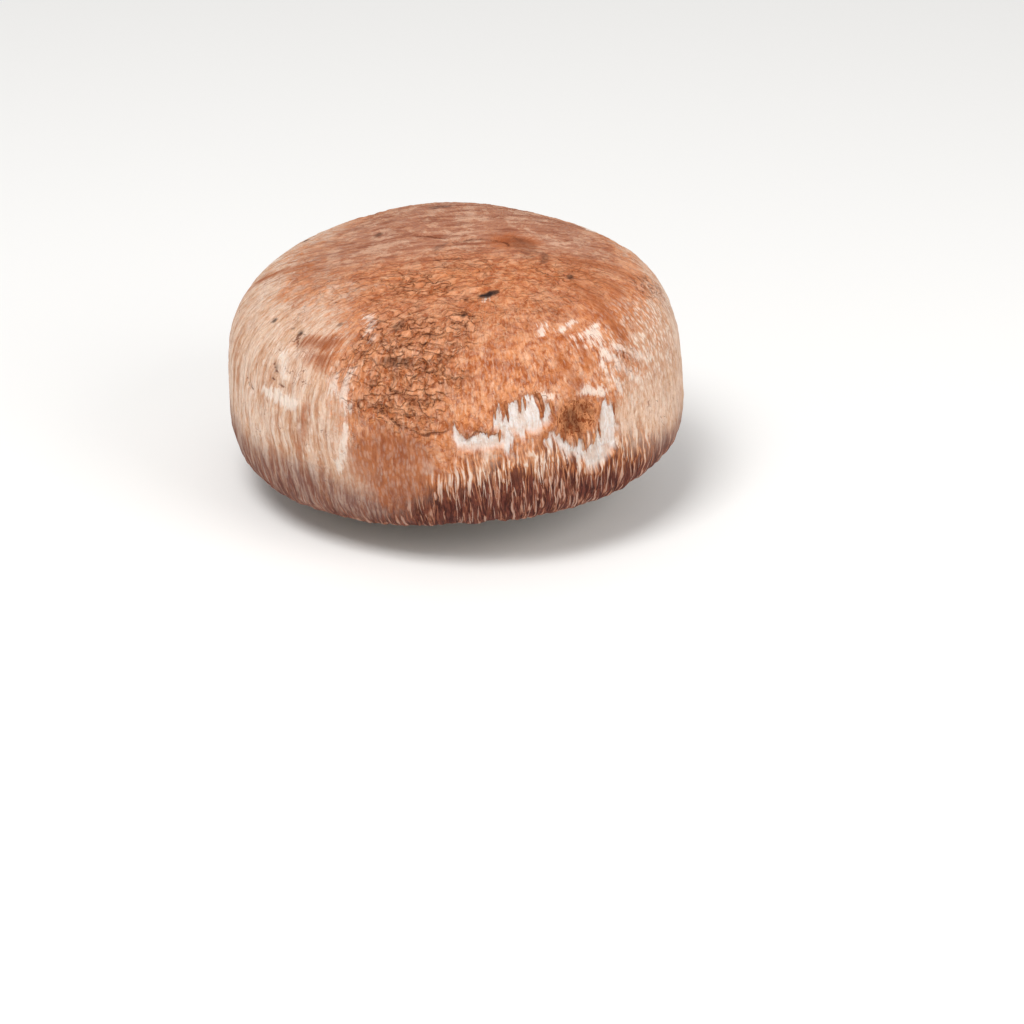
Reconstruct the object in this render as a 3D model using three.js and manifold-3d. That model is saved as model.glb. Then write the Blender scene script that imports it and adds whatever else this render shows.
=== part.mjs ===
// A portobello mushroom, cap up, standing on the cut end of its stem. Millimetres, +Z up.
// The cap is a thick bun whose margin rolls in under it. Gills hang inside the roll, round a short stem.
// Azimuth runs from the front (-Y) towards +X.
// A place on the skin is given by its azimuth and its arc length down from the crown.
import * as THREE from "three";
import { mergeVertices } from "three/addons/utils/BufferGeometryUtils.js";
import Module from "manifold-3d";

// Driving dimensions.
const CAP_RADIUS = 52;
const DOME_HEIGHT = 36;
const ROLL_DEPTH = 15.5;
const WIDEST_Z = 27.2;
const FLESH_THICKNESS = 31;
const STEM_RADIUS = 13.2;
const LEAN_FORWARDS = 0.035;
const LEAN_LEFT = 0.085;
const GAP = 0.35;

// Cap: levels above the surface that the mushroom stands on, and radii.
const CROWN_Z = WIDEST_Z + DOME_HEIGHT;
const MARGIN_Z = WIDEST_Z - ROLL_DEPTH;
const FLESH_Z = CROWN_Z - FLESH_THICKNESS;
const DOME_FULLNESS = 3.1;
const ROLL_FULLNESS = 2.9;
const ROLL_BOTTOM_RADIUS = 42;
const LIP_RADIUS = 36.5;
const CAVITY_RADIUS = 46.6;
const CAVITY_Z = 23.6;
const SOCKET_RADIUS = STEM_RADIUS + 1.2;
const SOCKET_DEPTH = 2.6;
const CROWN_OFFSET = new THREE.Vector2(10, -7);
const CAP_SEGMENTS = 84;
const SKIN_RINGS = 24;

// Gills: thin upright blades under a thin plate of their own tissue.
const GILL_PAIRS = 66;
const GILL_THICKNESS = 0.8;
const GILL_INNER_RADIUS = 17.2;
const GILL_OUTER_RADIUS = 45.6;
const SHORT_GILL_RADIUS = 27;
const GILL_EDGE_Z = 18.8;
const PLATE_THICKNESS = 1.5;
const PLATE_SEGMENTS = 44;

// Stem.
const STEM_FOOT_RADIUS = 14.6;
const STEM_SEGMENTS = 40;
const STEM_TOP_Z = FLESH_Z + SOCKET_DEPTH - GAP;
const RING_Z = 14;
const RING_PROUD = 2.6;

// Hollows in the skin, in degrees round and millimetres down: a dark dimple, places where the skin is torn
// off the flesh, and shallow dents at the sides and the back.
const HOLLOWS = [
  { degrees: 33, along: 65, width: 5, length: 5, depth: 0.9 },
  { degrees: 15, along: 63, width: 9, length: 5, depth: 0.5 },
  { degrees: 45, along: 68, width: 5, length: 7, depth: 0.5 },
  { degrees: 308, along: 46, width: 5, length: 4, depth: 0.5 },
  { degrees: 168, along: 40, width: 9, length: 9, depth: 0.7 },
  { degrees: 250, along: 50, width: 8, length: 11, depth: 0.6 },
];

const COLOURS = { cap: 0xb9825c, gills: 0x4b3026, stem: 0xe6dac8 };

const ease = (low, high, x) => THREE.MathUtils.smoothstep(x, low, high);

// A sum of sine waves round the axis: each wave is [cycles, height, phase].
const waves = (azimuth, list) =>
  list.reduce((sum, [cycles, height, phase]) => sum + height * Math.sin(cycles * azimuth + phase), 0);

// One quarter of a superellipse, from (0, height) to (width, 0), as [across, up] pairs.
function quarter(width, height, fullness, steps) {
  return Array.from({ length: steps + 1 }, (_, i) => {
    const turn = (i / steps) * (Math.PI / 2);
    const across = width * Math.sin(turn) ** (2 / fullness);
    return [across, height * Math.max(Math.cos(turn), 0) ** (2 / fullness)];
  });
}

// Height of the dome over a given radius.
function domeZ(radius) {
  return WIDEST_Z + DOME_HEIGHT * (1 - (radius / CAP_RADIUS) ** DOME_FULLNESS) ** (1 / DOME_FULLNESS);
}

// Underside of the flesh, a shallow cone that the gills hang from.
function fleshUnderside(radius) {
  const share = Math.max(0, radius - SOCKET_RADIUS) / (CAVITY_RADIUS - SOCKET_RADIUS);
  return FLESH_Z - (FLESH_Z - CAVITY_Z) * share;
}

// Cap's section, from the socket out under the flesh, round the rolled margin and up over the dome.
function capSection() {
  const dome = quarter(CAP_RADIUS, DOME_HEIGHT, DOME_FULLNESS, 60);
  const roll = quarter(CAP_RADIUS - ROLL_BOTTOM_RADIUS, ROLL_DEPTH, ROLL_FULLNESS, 24).reverse().slice(1);
  const outline = [
    ...dome.map(([across, up]) => new THREE.Vector2(across, WIDEST_Z + up)),
    ...roll.map(([across, down]) => new THREE.Vector2(ROLL_BOTTOM_RADIUS + across, WIDEST_Z - down)),
  ];
  const skin = new THREE.SplineCurve(outline).getSpacedPoints(SKIN_RINGS);
  const inside = [
    [LIP_RADIUS + 2, MARGIN_Z + 0.3],
    [LIP_RADIUS, MARGIN_Z + 1.5],
    [LIP_RADIUS + 0.9, MARGIN_Z + 3.0],
    [39.8, MARGIN_Z + 5.0],
    [43.6, MARGIN_Z + 7.6],
    [46.0, MARGIN_Z + 10.2],
    [CAVITY_RADIUS, CAVITY_Z],
    [31, fleshUnderside(31)],
    [SOCKET_RADIUS, FLESH_Z],
    [STEM_RADIUS + GAP, FLESH_Z + SOCKET_DEPTH],
    [0, FLESH_Z + SOCKET_DEPTH],
  ];
  return [...skin, ...inside.map(([r, z]) => new THREE.Vector2(r, z))].reverse();
}

// The crown, where the skin's fibres meet, lies off the middle of the cap.
// The dome keeps its form under them.
function moveCrown(point) {
  const share = Math.hypot(point.x, point.y) / CAP_RADIUS;
  point.x += CROWN_OFFSET.x * (1 - share ** 2) ** 2;
  point.y += CROWN_OFFSET.y * (1 - share ** 2) ** 2;
  point.z = domeZ(Math.hypot(point.x, point.y));
  return point;
}

// Growth has left the cap wider across than deep, fuller at the front right, and its margin wavy.
// The middle, round the stem, stays true.
function growUnevenly(point) {
  const radius = Math.hypot(point.x, point.y);
  const azimuth = Math.atan2(point.x, -point.y);
  const outwards = ease(18, 42, radius);
  const spread = 1 + outwards * waves(azimuth, [[2, -0.05, Math.PI / 2], [2, 0.044, 0], [3, 0.007, Math.PI]]);
  point.x *= spread;
  point.y *= spread;
  const undulation = waves(azimuth, [[3, 0.5, 0.4], [4, 0.35, 1.9], [7, 0.25, 1.1]]);
  point.z += outwards * (1 - ease(WIDEST_Z, WIDEST_Z + 20, point.z)) * undulation;
  return point;
}

// How near a place on the skin is to a hollow, from 1 at its middle to 0 outside it.
function nearness(azimuth, along, hollow) {
  const turn = azimuth - THREE.MathUtils.degToRad(hollow.degrees);
  const across = Math.atan2(Math.sin(turn), Math.cos(turn)) * Math.min(along, CAP_RADIUS);
  return Math.exp(-((across / hollow.width) ** 2) - ((along - hollow.along) / hollow.length) ** 2);
}

// Relief of the skin, along its normal: broad lumps, pebbles round the crown, and ridges towards the margin.
function skinRelief(azimuth, along) {
  const lumps = waves(azimuth, [[2, 0.3, along / 19], [3, 0.25, 1 - along / 13], [5, 0.2, along / 11]]);
  const pebbleRows = Math.sin(0.85 * along + 2 * Math.sin(3 * azimuth));
  const pebbles = 0.3 * pebbleRows * Math.sin(12 * azimuth + 0.13 * along);
  const drift = 1.5 * Math.sin(along / 6) + along / 14;
  const ridges = waves(azimuth, [
    [19, 0.14, drift],
    [27, 0.16, 2 - drift],
    [34, 0.12, drift / 2],
    [41, 0.1, 1],
  ]);
  const hollows = HOLLOWS.reduce((sum, hollow) => sum + hollow.depth * nearness(azimuth, along, hollow), 0);
  return (
    lumps * ease(5, 25, along) +
    pebbles * ease(4, 10, along) * (1 - ease(42, 58, along)) +
    ridges * ease(40, 62, along) -
    hollows
  );
}

// Ragged edge that the torn veil left on the lip.
const veilTear = (azimuth) => waves(azimuth, [[7, 0.5, 0.6], [13, 0.45, 2.2], [29, 0.4, 0.9]]);

// Turns a section about the Z axis, and hands each point to a shaping function, with its normal, its azimuth
// and its number along the section.
function turned(section, segments, shape) {
  const geometry = new THREE.LatheGeometry(section, segments).rotateX(Math.PI / 2);
  const place = geometry.attributes.position;
  const point = new THREE.Vector3();
  const normal = new THREE.Vector3();
  for (let k = 0; k < place.count; k++) {
    const azimuth = (Math.floor(k / section.length) % segments) * ((2 * Math.PI) / segments);
    point.fromBufferAttribute(place, k);
    normal.fromBufferAttribute(geometry.attributes.normal, k);
    shape(point, normal, azimuth, k % section.length);
    place.setXYZ(k, point.x, point.y, point.z);
  }
  return geometry;
}

const wasm = await Module();
wasm.setup();

function toSolid(geometry) {
  const bare = geometry.clone();
  bare.deleteAttribute("normal");
  bare.deleteAttribute("uv");
  const merged = mergeVertices(bare, 1e-3);
  const vertProperties = merged.attributes.position.array;
  const triVerts = new Uint32Array(merged.index.array);
  return new wasm.Manifold(new wasm.Mesh({ numProp: 3, vertProperties, triVerts }));
}

function toGeometry(solid) {
  const mesh = solid.getMesh();
  return new THREE.BufferGeometry()
    .setAttribute("position", new THREE.BufferAttribute(new Float32Array(mesh.vertProperties), 3))
    .setIndex(new THREE.BufferAttribute(mesh.triVerts, 1));
}

function makeCap() {
  const section = capSection();
  const firstSkin = section.length - 1 - SKIN_RINGS;
  const along = section.map(() => 0);
  for (let j = section.length - 2; j >= 0; j--) {
    along[j] = along[j + 1] + section[j].distanceTo(section[j + 1]);
  }
  return turned(section, CAP_SEGMENTS, (point, normal, azimuth, ring) => {
    if (ring >= firstSkin) {
      if (point.z > WIDEST_Z) moveCrown(point);
      point.addScaledVector(normal, skinRelief(azimuth, along[ring]));
    } else if (ring >= firstSkin - 3) {
      point.addScaledVector(normal, veilTear(azimuth));
    }
    growUnevenly(point);
  });
}

// One gill as seen from the side, in radius and height, from its inner end to its outer end.
function gillOutline(innerRadius) {
  const root = (radius) => fleshUnderside(radius) - GAP - 0.6 * PLATE_THICKNESS;
  const shape = new THREE.Shape();
  shape.moveTo(innerRadius, root(innerRadius));
  shape.lineTo(innerRadius + 0.6, GILL_EDGE_Z + 3);
  shape.lineTo(innerRadius + 4, GILL_EDGE_Z + 0.2);
  shape.lineTo(39.4, GILL_EDGE_Z);
  shape.lineTo(43.4, GILL_EDGE_Z + 1.8);
  shape.lineTo(GILL_OUTER_RADIUS - 0.5, root(GILL_OUTER_RADIUS));
  return shape;
}

function makeGills() {
  const radii = [GILL_INNER_RADIUS, GILL_OUTER_RADIUS];
  const bottom = radii.map((r) => new THREE.Vector2(r, fleshUnderside(r) - GAP - PLATE_THICKNESS));
  const top = radii.map((r) => new THREE.Vector2(r, fleshUnderside(r) - GAP));
  const loop = [...bottom, ...top.reverse(), bottom[0].clone()];
  const pieces = [toSolid(new THREE.LatheGeometry(loop, PLATE_SEGMENTS).rotateX(Math.PI / 2))];
  for (let i = 0; i < 2 * GILL_PAIRS; i++) {
    const outline = gillOutline(i % 2 ? SHORT_GILL_RADIUS : GILL_INNER_RADIUS);
    const blade = new THREE.ExtrudeGeometry(outline, { depth: GILL_THICKNESS, bevelEnabled: false })
      .translate(0, 0, -GILL_THICKNESS / 2)
      .rotateX(Math.PI / 2)
      .rotateZ((i / (2 * GILL_PAIRS)) * 2 * Math.PI);
    pieces.push(toSolid(blade));
  }
  const geometry = toGeometry(wasm.Manifold.union(pieces));
  const place = geometry.attributes.position;
  const point = new THREE.Vector3();
  for (let k = 0; k < place.count; k++) {
    growUnevenly(point.fromBufferAttribute(place, k));
    place.setXYZ(k, point.x, point.y, point.z);
  }
  return geometry;
}

// Stem's section: cut end, foot, waist, the torn ring that the veil left, and the head in the cap's socket.
function stemSection() {
  const side = [
    [STEM_FOOT_RADIUS - 0.7, 0],
    [STEM_FOOT_RADIUS, 0.8],
    [STEM_FOOT_RADIUS - 0.2, 3.5],
    [STEM_RADIUS + 0.3, 7],
    [STEM_RADIUS + 0.6, RING_Z - 2.6],
    [STEM_RADIUS + RING_PROUD, RING_Z - 1.5],
    [STEM_RADIUS + RING_PROUD - 0.2, RING_Z - 0.5],
    [STEM_RADIUS + 0.5, RING_Z + 1.6],
    [STEM_RADIUS - 0.2, RING_Z + 4],
    [STEM_RADIUS - 0.4, 22],
    [STEM_RADIUS - 0.2, FLESH_Z - 3],
    [STEM_RADIUS, FLESH_Z + 0.6],
    [STEM_RADIUS - 0.2, STEM_TOP_Z],
  ];
  return [[0, 0], ...side, [0, STEM_TOP_Z]].map(([r, z]) => new THREE.Vector2(r, z));
}

// The cap leans about the middle of the stem's head, and the stem bends on its way up to meet it squarely.
const lean = new THREE.Quaternion().setFromEuler(new THREE.Euler(LEAN_FORWARDS, -LEAN_LEFT, 0));

function bendStem(point) {
  const turn = new THREE.Quaternion().slerp(lean, ease(0, FLESH_Z, point.z));
  const pivotZ = Math.min(point.z, FLESH_Z);
  point.z -= pivotZ;
  point.applyQuaternion(turn);
  point.z += pivotZ;
  return point;
}

function makeStem() {
  return turned(stemSection(), STEM_SEGMENTS, (point, normal, azimuth) => {
    const side = ease(1.5, 5, point.z) * (1 - ease(FLESH_Z - 6, FLESH_Z - 1, point.z));
    const fibres = waves(azimuth, [[2, 0.35, 0.4], [5, 0.2, 1.2], [12, 0.12, 0]]);
    const ringEdge = Math.exp(-(((point.z - RING_Z + 1) / 1.4) ** 2));
    const tear = waves(azimuth, [[3, 0.5, 0.3], [5, 0.5, 1.7], [11, 0.35, 0.2]]);
    point.addScaledVector(normal, side * (fibres + ringEdge * tear));
    bendStem(point);
  });
}

function piece(name, geometry) {
  const finish = { color: COLOURS[name], roughness: 0.75, metalness: 0 };
  const mesh = new THREE.Mesh(geometry, new THREE.MeshStandardMaterial(finish));
  mesh.name = name;
  return mesh;
}

const leaning = new THREE.Group();
leaning.add(piece("cap", makeCap()), piece("gills", makeGills()));
for (const mesh of leaning.children) mesh.geometry.translate(0, 0, -FLESH_Z);
leaning.quaternion.copy(lean);
leaning.position.z = FLESH_Z;

const mushroom = new THREE.Group();
mushroom.add(leaning, piece("stem", makeStem()));

// The origin is on the surface, below the middle of the whole mushroom.
const box = new THREE.Box3().setFromObject(mushroom, true);
mushroom.position.set(-(box.min.x + box.max.x) / 2, -(box.min.y + box.max.y) / 2, -box.min.z);

export default mushroom;
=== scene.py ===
import math

import bpy
import numpy as np
from mathutils import Euler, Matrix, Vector, noise


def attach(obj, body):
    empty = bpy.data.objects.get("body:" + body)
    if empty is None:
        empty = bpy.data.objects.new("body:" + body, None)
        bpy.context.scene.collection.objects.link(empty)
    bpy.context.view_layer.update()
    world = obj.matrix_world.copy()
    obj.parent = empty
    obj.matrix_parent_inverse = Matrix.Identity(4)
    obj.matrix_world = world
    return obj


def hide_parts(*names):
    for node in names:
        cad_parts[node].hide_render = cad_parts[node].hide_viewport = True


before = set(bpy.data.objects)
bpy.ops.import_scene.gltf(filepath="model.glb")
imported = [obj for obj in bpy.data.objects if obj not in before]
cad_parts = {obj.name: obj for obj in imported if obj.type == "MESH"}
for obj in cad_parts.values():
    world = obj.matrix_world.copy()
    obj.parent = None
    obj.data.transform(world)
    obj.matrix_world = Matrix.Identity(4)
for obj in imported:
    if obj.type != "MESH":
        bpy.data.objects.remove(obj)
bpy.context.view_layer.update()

# Form of the solids that the pieces follow.
CAP_RADIUS = 52.0
DOME_HEIGHT = 36.0
ROLL_DEPTH = 15.5
WIDEST_Z = 27.2
FLESH_THICKNESS = 31.0
DOME_FULLNESS = 3.1
ROLL_FULLNESS = 2.9
ROLL_BOTTOM_RADIUS = 42.0
LIP_RADIUS = 36.5
CAVITY_RADIUS = 46.6
CAVITY_Z = 23.6
STEM_RADIUS = 13.2
STEM_FOOT_RADIUS = 14.6
GAP = 0.35
CROWN_OFFSET = (10.0, -7.0)
LEAN_FORWARDS = 0.035
LEAN_LEFT = 0.085
MARGIN_Z = WIDEST_Z - ROLL_DEPTH
FLESH_Z = WIDEST_Z + DOME_HEIGHT - FLESH_THICKNESS
SOCKET_RADIUS = STEM_RADIUS + 1.2
GILL_EDGE_Z = 18.8

# Fineness of the modelled surfaces.
CAP_STEPS = 520
SKIN_RINGS = 150
STEM_STEPS = 220
BLADES = 336

MM = 0.001
LEAN = Euler((LEAN_FORWARDS, -LEAN_LEFT, 0.0), "ZYX").to_matrix()


def ease(low, high, values):
    share = np.clip((values - low) / (high - low), 0.0, 1.0)
    return share * share * (3.0 - 2.0 * share)


def waves(turn, *terms):
    """A sum of sine waves round the axis. Each term is (cycles, height, phase)."""
    return sum(height * np.sin(cycles * turn + phase) for cycles, height, phase in terms)


def grain(points, size, seed=0):
    """Smooth noise from -1 to 1, with lumps about this size. size is a length, or one for each axis."""
    scaled = points / np.asarray(size, float) + 17.31 * seed
    return np.array([noise.noise(Vector(p)) for p in scaled])


def foot_centre():
    """Middle of the stem's cut end in the frame, in millimetres: the mushroom's axis rises from it."""
    points = np.array([v.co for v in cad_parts["stem"].data.vertices]) / MM
    foot = points[points[:, 2] < 0.1]
    return (foot.min(0) + foot.max(0)) / 2.0


AXIS_FOOT = foot_centre()


def leaned(points):
    """The cap and the gills lean about the middle of the stem's head."""
    pivot = np.array([0.0, 0.0, FLESH_Z])
    return (points - pivot) @ np.array(LEAN).T + pivot


def select_only(piece):
    for other in bpy.context.selected_objects:
        other.select_set(False)
    bpy.context.view_layer.objects.active = piece
    piece.select_set(True)


def points_of(piece):
    points = np.empty(len(piece.data.vertices) * 3)
    piece.data.vertices.foreach_get("co", points)
    return points.reshape(-1, 3)


def move_points(piece, points):
    piece.data.vertices.foreach_set("co", np.ascontiguousarray(points, float).ravel())
    piece.data.update()


def normals_of(piece):
    normals = np.empty(len(piece.data.vertices) * 3)
    piece.data.vertex_normals.foreach_get("vector", normals)
    return normals.reshape(-1, 3)


def read(piece, name):
    values = np.empty(len(piece.data.vertices))
    piece.data.attributes[name].data.foreach_get("value", values)
    return values


def store(piece, name, values):
    """Keeps a number, or three numbers, for each point of a piece, for its material to read."""
    values = np.asarray(values, float)
    kind, key = ("FLOAT", "value") if values.ndim == 1 else ("FLOAT_VECTOR", "vector")
    if name in piece.data.attributes:
        piece.data.attributes.remove(piece.data.attributes[name])
    piece.data.attributes.new(name, kind, "POINT").data.foreach_set(key, values.ravel())


def spun(name, outline, steps):
    """A closed body, made by spinning an outline of (radius, height) points about the axis.
    The attribute "place" keeps each point's number along the outline."""
    mesh = bpy.data.meshes.new(name)
    edges = [(i, i + 1) for i in range(len(outline) - 1)]
    mesh.from_pydata([(radius, 0.0, height) for radius, height in outline], edges, [])
    piece = bpy.data.objects.new(name, mesh)
    bpy.context.collection.objects.link(piece)
    store(piece, "place", np.arange(len(outline)))
    select_only(piece)
    bpy.ops.object.mode_set(mode="EDIT")
    bpy.ops.mesh.select_all(action="SELECT")
    bpy.ops.mesh.spin(steps=steps, angle=2 * math.pi, center=(0, 0, 0), axis=(0, 0, 1))
    bpy.ops.mesh.select_all(action="SELECT")
    bpy.ops.mesh.remove_doubles(threshold=1e-3)
    bpy.ops.mesh.normals_make_consistent(inside=False)
    bpy.ops.object.mode_set(mode="OBJECT")
    return piece


def set_down(piece, finish, slot, *replaced):
    """Places a piece in the frame in metres, smooths it, and gives it its material and its body."""
    move_points(piece, (points_of(piece) + AXIS_FOOT) * MM)
    piece.data.materials.clear()
    piece.data.materials.append(finish)
    select_only(piece)
    bpy.ops.object.shade_smooth()
    if replaced:
        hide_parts(*replaced)
    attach(piece, "root")
    return piece


def linear(code):
    """A colour written in web hex, as the shader's linear light."""
    parts = [int(code[i : i + 2], 16) / 255 for i in (1, 3, 5)]
    return tuple(c / 12.92 if c <= 0.04045 else ((c + 0.055) / 1.055) ** 2.4 for c in parts) + (1.0,)


class Wire:
    """A socket in a material. Arithmetic on it adds Math nodes."""

    def __init__(self, finish, socket):
        self.finish = finish
        self.socket = socket

    def math(self, operation, first, second=0.0):
        return self.finish.node("ShaderNodeMath", {"operation": operation}, {0: first, 1: second})

    def __add__(self, other):
        return self.math("ADD", self, other)

    __radd__ = __add__

    def __mul__(self, other):
        return self.math("MULTIPLY", self, other)

    __rmul__ = __mul__

    def __sub__(self, other):
        return self.math("SUBTRACT", self, other)

    def __rsub__(self, other):
        return self.math("SUBTRACT", other, self)


class Finish:
    """A material, built node by node."""

    def __init__(self, name):
        self.material = bpy.data.materials.new(name)
        self.material.use_nodes = True
        self.tree = self.material.node_tree
        self.tree.nodes.clear()

    def node(self, kind, settings=None, inputs=None, output=0):
        """Adds a node: first its settings, then the values or wires of its sockets. Returns one output."""
        made = self.tree.nodes.new(kind)
        for name, value in (settings or {}).items():
            setattr(made, name, value)
        for name, value in (inputs or {}).items():
            if isinstance(value, Wire):
                self.tree.links.new(value.socket, made.inputs[name])
            else:
                made.inputs[name].default_value = value
        return Wire(self, made.outputs[output]) if made.outputs else None

    def attribute(self, name):
        """A number that the piece keeps at its points."""
        return self.node("ShaderNodeAttribute", {"attribute_name": name}, output="Fac")

    def attribute_vector(self, name):
        return self.node("ShaderNodeAttribute", {"attribute_name": name}, output="Vector")

    def millimetres(self):
        """The place on the piece, in millimetres."""
        here = self.node("ShaderNodeTexCoord", output="Object")
        return self.scaled(here, (1 / MM, 1 / MM, 1 / MM))

    def scaled(self, vector, factors):
        return self.node("ShaderNodeVectorMath", {"operation": "MULTIPLY"}, {0: vector, 1: factors})

    def shifted(self, vector, amounts):
        return self.node("ShaderNodeVectorMath", {"operation": "ADD"}, {0: vector, 1: amounts})

    def noise(self, where, size, detail=3.0, roughness=0.55, distortion=0.0):
        """Noise from 0 to 1. size is the size of its lumps: a length, or one along each axis."""
        sizes = (size, size, size) if isinstance(size, (int, float)) else size
        sockets = {"Vector": self.scaled(where, tuple(1 / s for s in sizes)), "Scale": 1.0}
        sockets |= {"Detail": detail, "Roughness": roughness, "Distortion": distortion}
        return self.node("ShaderNodeTexNoise", {}, sockets)

    def cell_tone(self, where, sizes):
        """A random tone from 0 to 1 for each cell of this size."""
        sockets = {"Vector": self.scaled(where, tuple(1 / s for s in sizes)), "Scale": 1.0}
        colour = self.node("ShaderNodeTexVoronoi", {"feature": "F1"}, sockets, output="Color")
        return self.node("ShaderNodeSeparateXYZ", {}, {0: colour})

    def cell_distance(self, where, sizes):
        """Distance from the middle of the nearest cell of this size: 0 in its middle."""
        sockets = {"Vector": self.scaled(where, tuple(1 / s for s in sizes)), "Scale": 1.0}
        return self.node("ShaderNodeTexVoronoi", {"feature": "F1"}, sockets)

    def warped(self, where, here, size, amount):
        """Coordinates pushed about by noise with lumps of this size."""
        sockets = {"Vector": self.scaled(here, (1 / size,) * 3), "Scale": 1.0, "Detail": 2.0}
        push = self.node("ShaderNodeTexNoise", {}, sockets, output="Color")
        push = self.scaled(self.shifted(push, (-0.5, -0.5, -0.5)), (amount, amount, amount))
        return self.node("ShaderNodeVectorMath", {"operation": "ADD"}, {0: where, 1: push})

    def contour(self, value, width):
        """1 on the lines where noise passes its middle, falling to 0 within this width of its values."""
        return self.ease(width, 0.0, self.math("ABSOLUTE", value - 0.5))

    def math(self, operation, value):
        return self.node("ShaderNodeMath", {"operation": operation}, {0: value})

    def ease(self, low, high, value):
        """Rises smoothly from 0 at low to 1 at high, or falls where low is above high."""
        sockets = {"Value": value, "From Min": low, "From Max": high, "To Min": 0.0, "To Max": 1.0}
        return self.node("ShaderNodeMapRange", {"interpolation_type": "SMOOTHSTEP"}, sockets)

    def blend(self, share, below, above):
        settings = {"data_type": "RGBA", "blend_type": "MIX", "clamp_factor": True}
        return self.node("ShaderNodeMix", settings, {0: share, 6: below, 7: above}, output=2)

    def between(self, share, low, high):
        """From one colour to another, both written in web hex."""
        return self.blend(share, linear(low), linear(high))

    def over(self, colour, *layers):
        """Lays colours over one another in turn. Each layer is a share and a colour written in web hex."""
        for share, code in layers:
            colour = self.blend(share, colour, linear(code))
        return colour

    def bump(self, height_mm):
        return self.node("ShaderNodeBump", {}, {"Height": height_mm, "Distance": MM, "Strength": 1.0})

    def surface(self, colour, roughness, normal=None, constants=None):
        """The Principled shader, with its constants set on its own sockets."""
        sockets = {"Base Color": colour, "Roughness": roughness, "Specular IOR Level": 0.3}
        if normal is not None:
            sockets["Normal"] = normal
        sockets.update(constants or {})
        shader = self.node("ShaderNodeBsdfPrincipled", {}, sockets)
        self.node("ShaderNodeOutputMaterial", {}, {"Surface": shader})
        return self.material


SOFT_FLESH = {"Subsurface Weight": 0.08, "Subsurface Radius": (1.0, 0.55, 0.35), "Subsurface Scale": 0.0015}


# Cap

def quarter(width, height, fullness, steps):
    """A quarter of a superellipse, from (0, height) to (width, 0)."""
    turn = np.linspace(0.0, math.pi / 2, steps)
    across = width * np.sin(turn) ** (2 / fullness)
    return np.column_stack([across, height * np.clip(np.cos(turn), 0, None) ** (2 / fullness)])


def spaced(line, count):
    """Points at even distances along a line, with the distance of each from its start."""
    lengths = np.concatenate([[0.0], np.cumsum(np.linalg.norm(np.diff(line, axis=0), axis=1))])
    at = np.linspace(0.0, lengths[-1], count)
    return np.column_stack([np.interp(at, lengths, line[:, 0]), np.interp(at, lengths, line[:, 1])]), at


def flesh_underside(radius):
    share = np.clip(radius - SOCKET_RADIUS, 0.0, None) / (CAVITY_RADIUS - SOCKET_RADIUS)
    return FLESH_Z - (FLESH_Z - CAVITY_Z) * share


def dome_height(radius):
    share = np.clip(radius / CAP_RADIUS, 0.0, 1.0)
    return WIDEST_Z + DOME_HEIGHT * (1.0 - share**DOME_FULLNESS) ** (1 / DOME_FULLNESS)


def cap_outline():
    """Half section of the cap, from crown to the roof of the stem's socket, and each point's way down it."""
    dome = quarter(CAP_RADIUS, DOME_HEIGHT, DOME_FULLNESS, 300) + (0.0, WIDEST_Z)
    roll = quarter(CAP_RADIUS - ROLL_BOTTOM_RADIUS, ROLL_DEPTH, ROLL_FULLNESS, 120)[::-1]
    roll = np.column_stack([ROLL_BOTTOM_RADIUS + roll[:, 0], WIDEST_Z - roll[:, 1]])
    skin, down = spaced(np.vstack([dome, roll[1:]]), SKIN_RINGS)
    inside = np.array([
        (LIP_RADIUS + 4.0, MARGIN_Z),
        (LIP_RADIUS + 2.0, MARGIN_Z + 0.3),
        (LIP_RADIUS + 0.5, MARGIN_Z + 0.8),
        (LIP_RADIUS, MARGIN_Z + 1.5),
        (LIP_RADIUS + 0.2, MARGIN_Z + 2.3),
        (LIP_RADIUS + 0.9, MARGIN_Z + 3.0),
        (LIP_RADIUS + 2.0, MARGIN_Z + 4.1),
        (39.8, MARGIN_Z + 5.0),
        (41.8, MARGIN_Z + 6.2),
        (43.6, MARGIN_Z + 7.6),
        (45.0, MARGIN_Z + 8.9),
        (46.0, MARGIN_Z + 10.2),
        (CAVITY_RADIUS, CAVITY_Z),
        (38.0, flesh_underside(38.0)),
        (31.0, flesh_underside(31.0)),
        (23.0, flesh_underside(23.0)),
        (SOCKET_RADIUS, FLESH_Z),
        (STEM_RADIUS + GAP, FLESH_Z + 2.6),
        (0.0, FLESH_Z + 2.6),
    ])
    further = down[-1] + np.cumsum(np.full(len(inside), 1.6))
    return np.vstack([skin, inside]), np.concatenate([down, further])


def move_crown(points):
    """The crown, where the skin's fibres meet, lies off the middle of the dome, which keeps its form."""
    share = np.hypot(points[:, 0], points[:, 1]) / CAP_RADIUS
    reach = (1.0 - np.clip(share, 0, 1) ** 2) ** 2
    moved = points.copy()
    moved[:, 0] += CROWN_OFFSET[0] * reach
    moved[:, 1] += CROWN_OFFSET[1] * reach
    moved[:, 2] = dome_height(np.hypot(moved[:, 0], moved[:, 1]))
    return moved


def grow_unevenly(points):
    """The cap is wider across than deep and fuller at the front right, and its margin is wavy."""
    radius = np.hypot(points[:, 0], points[:, 1])
    turn = np.arctan2(points[:, 0], -points[:, 1])
    outwards = ease(18.0, 42.0, radius)
    spread = 1.0 + outwards * waves(turn, (2, -0.05, math.pi / 2), (2, 0.044, 0.0), (3, 0.007, math.pi))
    undulation = waves(turn, (3, 0.5, 0.4), (4, 0.35, 1.9), (7, 0.25, 1.1))
    lift = outwards * (1.0 - ease(WIDEST_Z, WIDEST_Z + 20.0, points[:, 2])) * undulation
    return np.column_stack([points[:, 0] * spread, points[:, 1] * spread, points[:, 2] + lift])


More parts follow.
